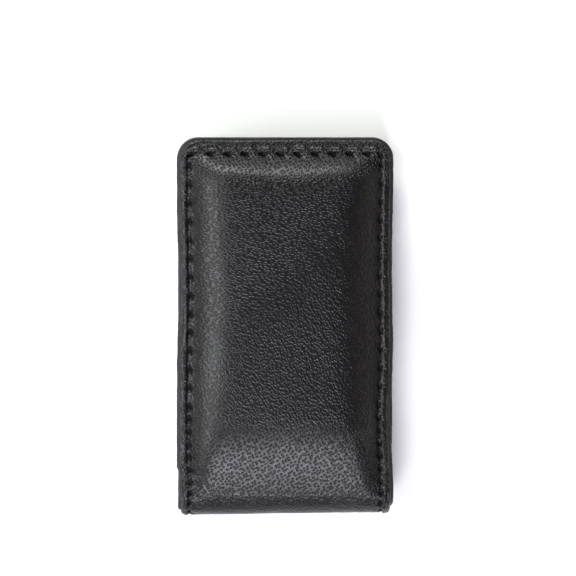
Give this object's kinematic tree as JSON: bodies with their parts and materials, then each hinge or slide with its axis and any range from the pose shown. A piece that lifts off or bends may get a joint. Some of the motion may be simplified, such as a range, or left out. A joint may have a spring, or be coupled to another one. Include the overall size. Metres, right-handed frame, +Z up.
{
  "type": "magnetic money clip",
  "caption": "Padded leather money clip: stitched magnetic leaves joined by a leather fold grip notes between them.",
  "frame": {"origin": "under the middle of the clip, on the surface that its rear leaf lies on", "axes": "+X across the clip, +Y from the leather fold to the free end, +Z up through the front leaf"},
  "size_m": [0.04, 0.0696, 0.0142],
  "materials": {
    "outer_leather": "pebbled black hide with a soft sheen",
    "lining_leather": "smoother matt black hide",
    "thread": "black bonded sewing thread",
    "foam": "closed-cell foam",
    "fibre_board": "dense fibre board",
    "magnet": "nickel plate"
  },
  "bodies": {
    "rear_leaf": {"rear_outer_leather": "outer_leather", "rear_foam_pad": "foam", "rear_stiffener_board": "fibre_board", "rear_magnet_left": "magnet", "rear_magnet_right": "magnet", "rear_lining_leather": "lining_leather", "rear_seam_thread": "thread", "rear_bobbin_thread": "thread"},
    "fold_1": {"fold_outer_leather_1": "outer_leather", "fold_lining_leather_1": "lining_leather"},
    "fold_2": {"fold_outer_leather_2": "outer_leather", "fold_lining_leather_2": "lining_leather"},
    "front_leaf": {"front_outer_leather": "outer_leather", "front_foam_pad": "foam", "front_stiffener_board": "fibre_board", "front_magnet_left": "magnet", "front_magnet_right": "magnet", "front_lining_leather": "lining_leather", "front_seam_thread": "thread", "front_bobbin_thread": "thread"}
  },
  "joints": [
    {"name": "fold_bend_1", "type": "hinge", "parent": "rear_leaf", "child": "fold_1", "pos_m": [0, -0.03289, 0.00347], "axis": [1, 0, 0], "range_deg": [-1.25, 60], "stiffness_Nm_per_rad": 0.012, "springref_deg": -1.25},
    {"name": "fold_bend_2", "type": "hinge", "parent": "fold_1", "child": "fold_2", "pos_m": [0, -0.03499, 0.0071], "axis": [1, 0, 0], "range_deg": [-1.25, 60], "stiffness_Nm_per_rad": 0.012, "springref_deg": -1.25},
    {"name": "fold_bend_3", "type": "hinge", "parent": "fold_2", "child": "front_leaf", "pos_m": [0, -0.03289, 0.01073], "axis": [1, 0, 0], "range_deg": [-1.25, 60], "stiffness_Nm_per_rad": 0.012, "springref_deg": -1.25}
  ],
  "couplings": [
    {"joint": "fold_bend_2", "follows": "fold_bend_1", "ratio": 1},
    {"joint": "fold_bend_3", "follows": "fold_bend_1", "ratio": 1}
  ]
}
